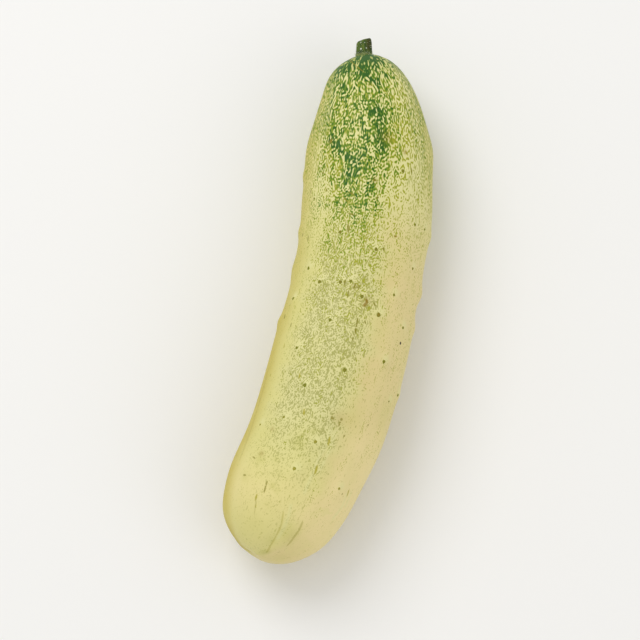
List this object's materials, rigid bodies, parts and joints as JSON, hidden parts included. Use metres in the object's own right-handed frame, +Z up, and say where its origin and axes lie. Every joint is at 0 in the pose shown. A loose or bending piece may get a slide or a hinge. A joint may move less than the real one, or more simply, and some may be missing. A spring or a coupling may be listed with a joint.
{
  "type": "half-white cucumber",
  "caption": "Thick pale cucumber lying on its side, gently bowed, blunt at both ends, with low warts and the cut stub of its stalk.",
  "frame": {"origin": "on the surface it lies on, in the middle of its footprint", "axes": "+Z up, +Y along the fruit's length towards the stalk, +X towards the outside of its bow"},
  "size_m": [0.0686, 0.2528, 0.0609],
  "materials": {
    "skin": "thin waxy skin, pale yellow-green to cream, mottled deep green round the stalk",
    "stalk": "dry, ribbed, dark olive green"
  },
  "bodies": {
    "root": {"fruit": "skin", "stem": "stalk"}
  },
  "joints": []
}
